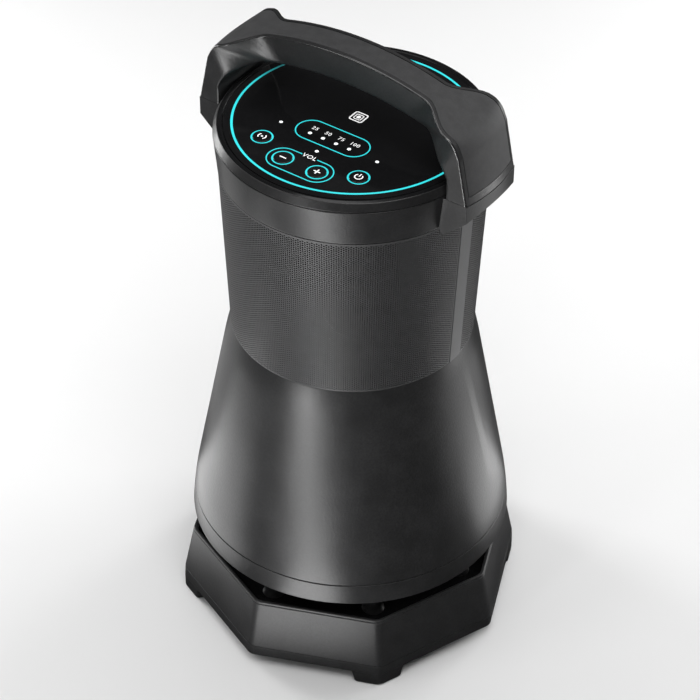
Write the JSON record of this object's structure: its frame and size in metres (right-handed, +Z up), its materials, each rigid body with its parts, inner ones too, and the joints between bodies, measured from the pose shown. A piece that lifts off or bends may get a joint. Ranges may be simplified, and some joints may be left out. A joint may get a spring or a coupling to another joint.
{
  "type": "party speaker",
  "caption": "Portable party speaker with a bell-shaped cabinet, perforated grille, lit control top, carrying handle and octagonal footed base.",
  "frame": {"origin": "centre of the footprint on the floor, under the foot pads", "axes": "+Z up; the buttons are towards -Y and the handle spans X"},
  "size_m": [0.241, 0.241, 0.449],
  "materials": {
    "shell_plastic": "fine-grained charcoal black",
    "gloss_black": "polished black",
    "grille_metal": "perforated, powder coated black",
    "strip_plastic": "fine matte dark grey",
    "soft_grip": "soft-touch, finely textured",
    "foot_rubber": "matte",
    "teal_light": "lit teal light guide",
    "white_lens": "lit white lens",
    "screw_steel": "zinc plated",
    "yoke_steel": "zinc plated",
    "ferrite": "ground",
    "basket_metal": "black stamped metal",
    "cone_paper": "pressed fibre",
    "surround_rubber": "moulded roll",
    "spider_cloth": "corrugated treated cloth",
    "coil_copper": "enamelled winding",
    "inner_plastic": "moulded black",
    "socket_metal": "nickel plated",
    "cell_wrap": "shrink wrapped cell",
    "board_green": "solder mask",
    "silicone": "translucent",
    "cable_jacket": "smooth"
  },
  "bodies": {
    "cabinet": {"base_plate": "shell_plastic", "base_shell": "shell_plastic", "skirt_ring": "shell_plastic", "cabinet_shell": "shell_plastic", "top_housing": "shell_plastic", "top_bezel": "shell_plastic", "handle_shell": "shell_plastic", "handle_bracket_right": "shell_plastic", "handle_bracket_left": "shell_plastic", "control_panel": "gloss_black", "sound_deflector": "gloss_black", "pillars": "gloss_black", "grille_front": "grille_metal", "grille_rear": "grille_metal", "grille_strip_right": "strip_plastic", "grille_strip_left": "strip_plastic", "handle_grip": "soft_grip", "foot_pads": "foot_rubber", "light_ring": "teal_light", "light_guides": "teal_light", "indicator_lenses": "white_lens", "base_plate_screws": "screw_steel", "pillar_screws": "screw_steel", "woofer_screws": "screw_steel", "driver_screws": "screw_steel", "frame_screws": "screw_steel", "handle_screws": "screw_steel", "port_cover_pin": "screw_steel", "woofer_yoke": "yoke_steel", "driver_magnets": "yoke_steel", "woofer_magnet": "ferrite", "woofer_basket": "basket_metal", "driver_baskets": "basket_metal", "woofer_surround": "surround_rubber", "driver_surrounds": "surround_rubber", "woofer_spider": "spider_cloth", "jack_panel": "inner_plastic", "battery_holder": "inner_plastic", "partition_plate": "inner_plastic", "driver_frame": "inner_plastic", "audio_jack": "inner_plastic", "power_inlet": "inner_plastic", "usb_port": "socket_metal", "battery_cells": "cell_wrap", "main_board": "board_green", "control_board": "board_green", "button_mat": "silicone", "control_cable": "cable_jacket"},
    "woofer_moving": {"woofer_cone": "cone_paper", "woofer_dust_cap": "cone_paper", "woofer_voice_coil": "coil_copper"},
    "cover": {"port_cover": "foot_rubber"},
    "pairing": {"pairing_button": "gloss_black"},
    "volume_down": {"volume_down_button": "gloss_black"},
    "volume_up": {"volume_up_button": "gloss_black"},
    "power": {"power_button": "gloss_black"},
    "cone_front_right": {"driver_cone_front_right": "cone_paper"},
    "cone_front_left": {"driver_cone_front_left": "cone_paper"},
    "cone_rear_right": {"driver_cone_rear_right": "cone_paper"},
    "cone_rear_left": {"driver_cone_rear_left": "cone_paper"}
  },
  "joints": [
    {"name": "pairing_press", "type": "slide", "parent": "cabinet", "child": "pairing", "axis": [0, 0, -1], "range_m": [0, 0.0007], "stiffness_N_per_m": 300},
    {"name": "volume_down_press", "type": "slide", "parent": "cabinet", "child": "volume_down", "axis": [0, 0, -1], "range_m": [0, 0.0007], "stiffness_N_per_m": 300},
    {"name": "volume_up_press", "type": "slide", "parent": "cabinet", "child": "volume_up", "axis": [0, 0, -1], "range_m": [0, 0.0007], "stiffness_N_per_m": 300},
    {"name": "power_press", "type": "slide", "parent": "cabinet", "child": "power", "axis": [0, 0, -1], "range_m": [0, 0.0007], "stiffness_N_per_m": 300},
    {"name": "port_cover_hinge", "type": "hinge", "parent": "cabinet", "child": "cover", "pos_m": [0, 0.10043, 0.13], "axis": [1, 0, 0], "range_deg": [0, 90]},
    {"name": "woofer_travel", "type": "slide", "parent": "cabinet", "child": "woofer_moving", "axis": [0, 0, 1], "range_m": [-0.004, 0.004], "stiffness_N_per_m": 3000},
    {"name": "driver_travel_front_right", "type": "slide", "parent": "cabinet", "child": "cone_front_right", "axis": [0.7071, -0.7071, 0], "range_m": [-0.002, 0.002], "stiffness_N_per_m": 1500},
    {"name": "driver_travel_front_left", "type": "slide", "parent": "cabinet", "child": "cone_front_left", "axis": [-0.7071, -0.7071, 0], "range_m": [-0.002, 0.002], "stiffness_N_per_m": 1500},
    {"name": "driver_travel_rear_right", "type": "slide", "parent": "cabinet", "child": "cone_rear_right", "axis": [0.7071, 0.7071, 0], "range_m": [-0.002, 0.002], "stiffness_N_per_m": 1500},
    {"name": "driver_travel_rear_left", "type": "slide", "parent": "cabinet", "child": "cone_rear_left", "axis": [-0.7071, 0.7071, 0], "range_m": [-0.002, 0.002], "stiffness_N_per_m": 1500}
  ]
}
